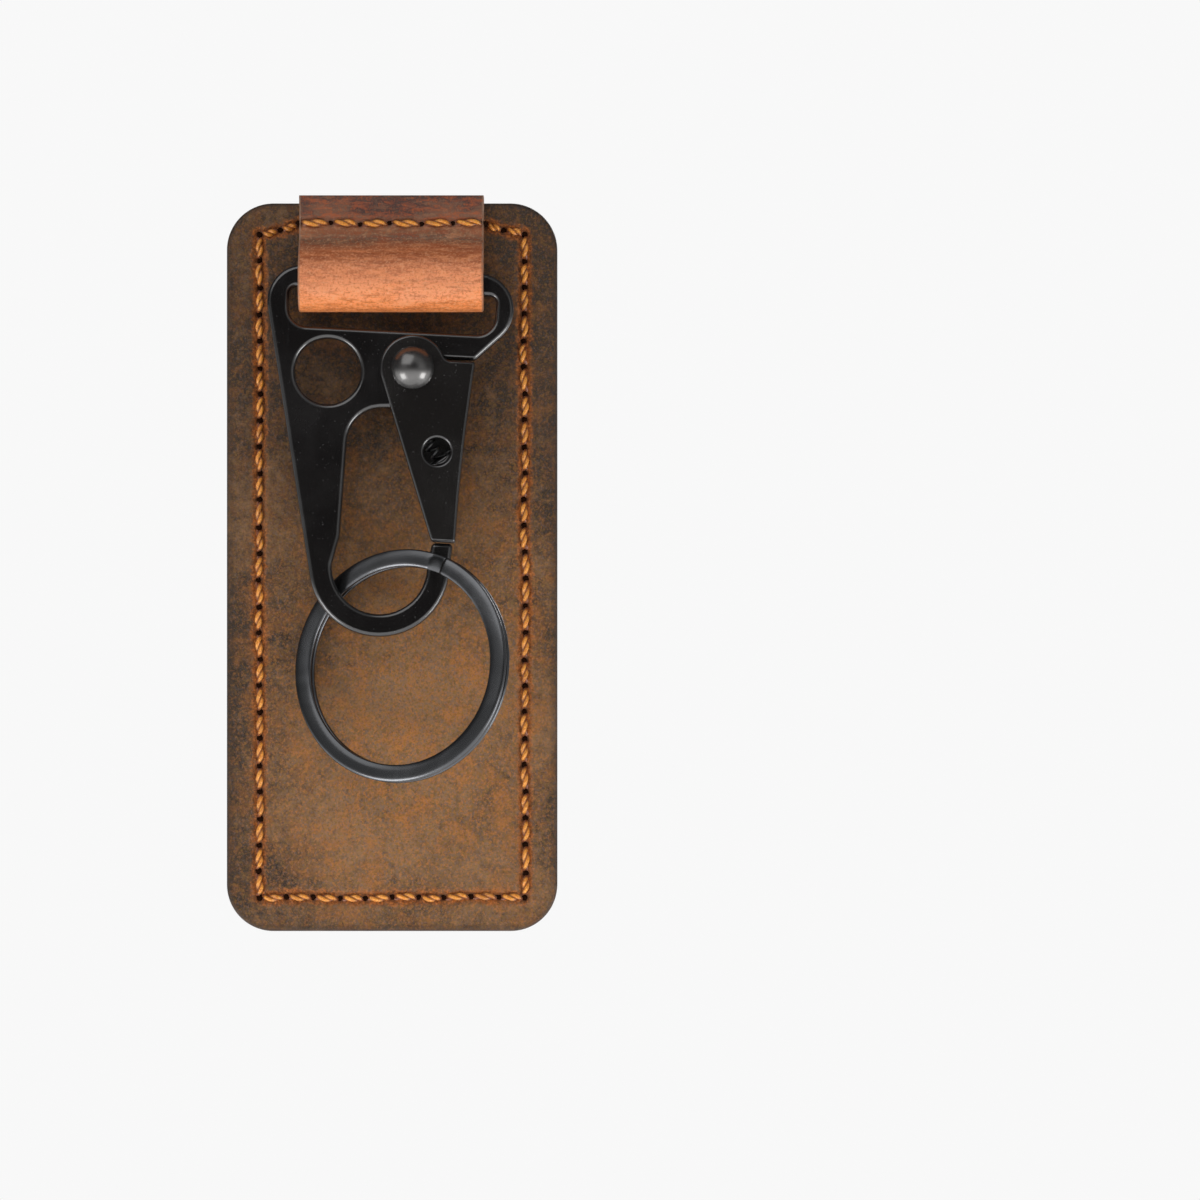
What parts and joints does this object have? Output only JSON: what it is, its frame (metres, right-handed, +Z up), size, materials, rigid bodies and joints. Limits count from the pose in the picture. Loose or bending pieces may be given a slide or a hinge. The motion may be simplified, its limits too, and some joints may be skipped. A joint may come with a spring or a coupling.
{
  "type": "belt key clip",
  "caption": "Stitched leather belt hanger with a spring clip on its back and a flat snap hook holding a split key ring on its front.",
  "frame": {"origin": "inside top of the belt clip's fold, midway across its gap, where the belt's upper edge rests", "axes": "+Z up as worn, -Y out of the front face with the snap hook, +X to the right seen from the front"},
  "size_m": [0.0454, 0.0299, 0.1009],
  "materials": {
    "leather": "oiled, mottled brown",
    "strap": "oiled, tan pull-up where it is bent",
    "thread": "waxed orange thread",
    "clip_steel": "gloss black",
    "hook_steel": "satin black",
    "rivet_steel": "gloss black",
    "spring_steel": "plain wire",
    "ring_steel": "gunmetal"
  },
  "bodies": {
    "pad": {"front_panel": "leather", "back_panel": "leather", "hook_loop": "strap", "front_stitches": "thread", "back_stitches": "thread", "clip_base": "clip_steel", "clip_rivets": "rivet_steel", "rivet_caps": "rivet_steel"},
    "clip": {"clip_arm": "clip_steel"},
    "hook": {"hook_body": "hook_steel", "gate_rivet": "rivet_steel", "gate_spring": "spring_steel"},
    "gate": {"gate": "hook_steel"},
    "ring": {"key_ring": "ring_steel"}
  },
  "joints": [
    {"name": "hook_swing", "type": "hinge", "parent": "pad", "child": "hook", "pos_m": [0, -0.0117, -0.00185], "axis": [-0.9987, 0, 0.0506], "range_deg": [0, 155]},
    {"name": "gate_open", "type": "hinge", "parent": "hook", "child": "gate", "pos_m": [0.00299, -0.01207, -0.01391], "axis": [-0.0016, 0.9995, -0.0314], "range_deg": [0, 25], "stiffness_Nm_per_rad": 0.1, "springref_deg": -28.65, "deforming": ["gate_spring"]},
    {"name": "ring_swing", "type": "hinge", "parent": "hook", "child": "ring", "pos_m": [-0.00813, -0.01169, -0.04656], "axis": [-0.7314, 0.2397, -0.6385], "range_deg": [0, 60]},
    {"name": "clip_flex", "type": "hinge", "parent": "pad", "child": "clip", "pos_m": [0, 0, -0.003], "axis": [1, 0, 0], "range_deg": [0, 6], "stiffness_Nm_per_rad": 2, "springref_deg": -5.73}
  ]
}
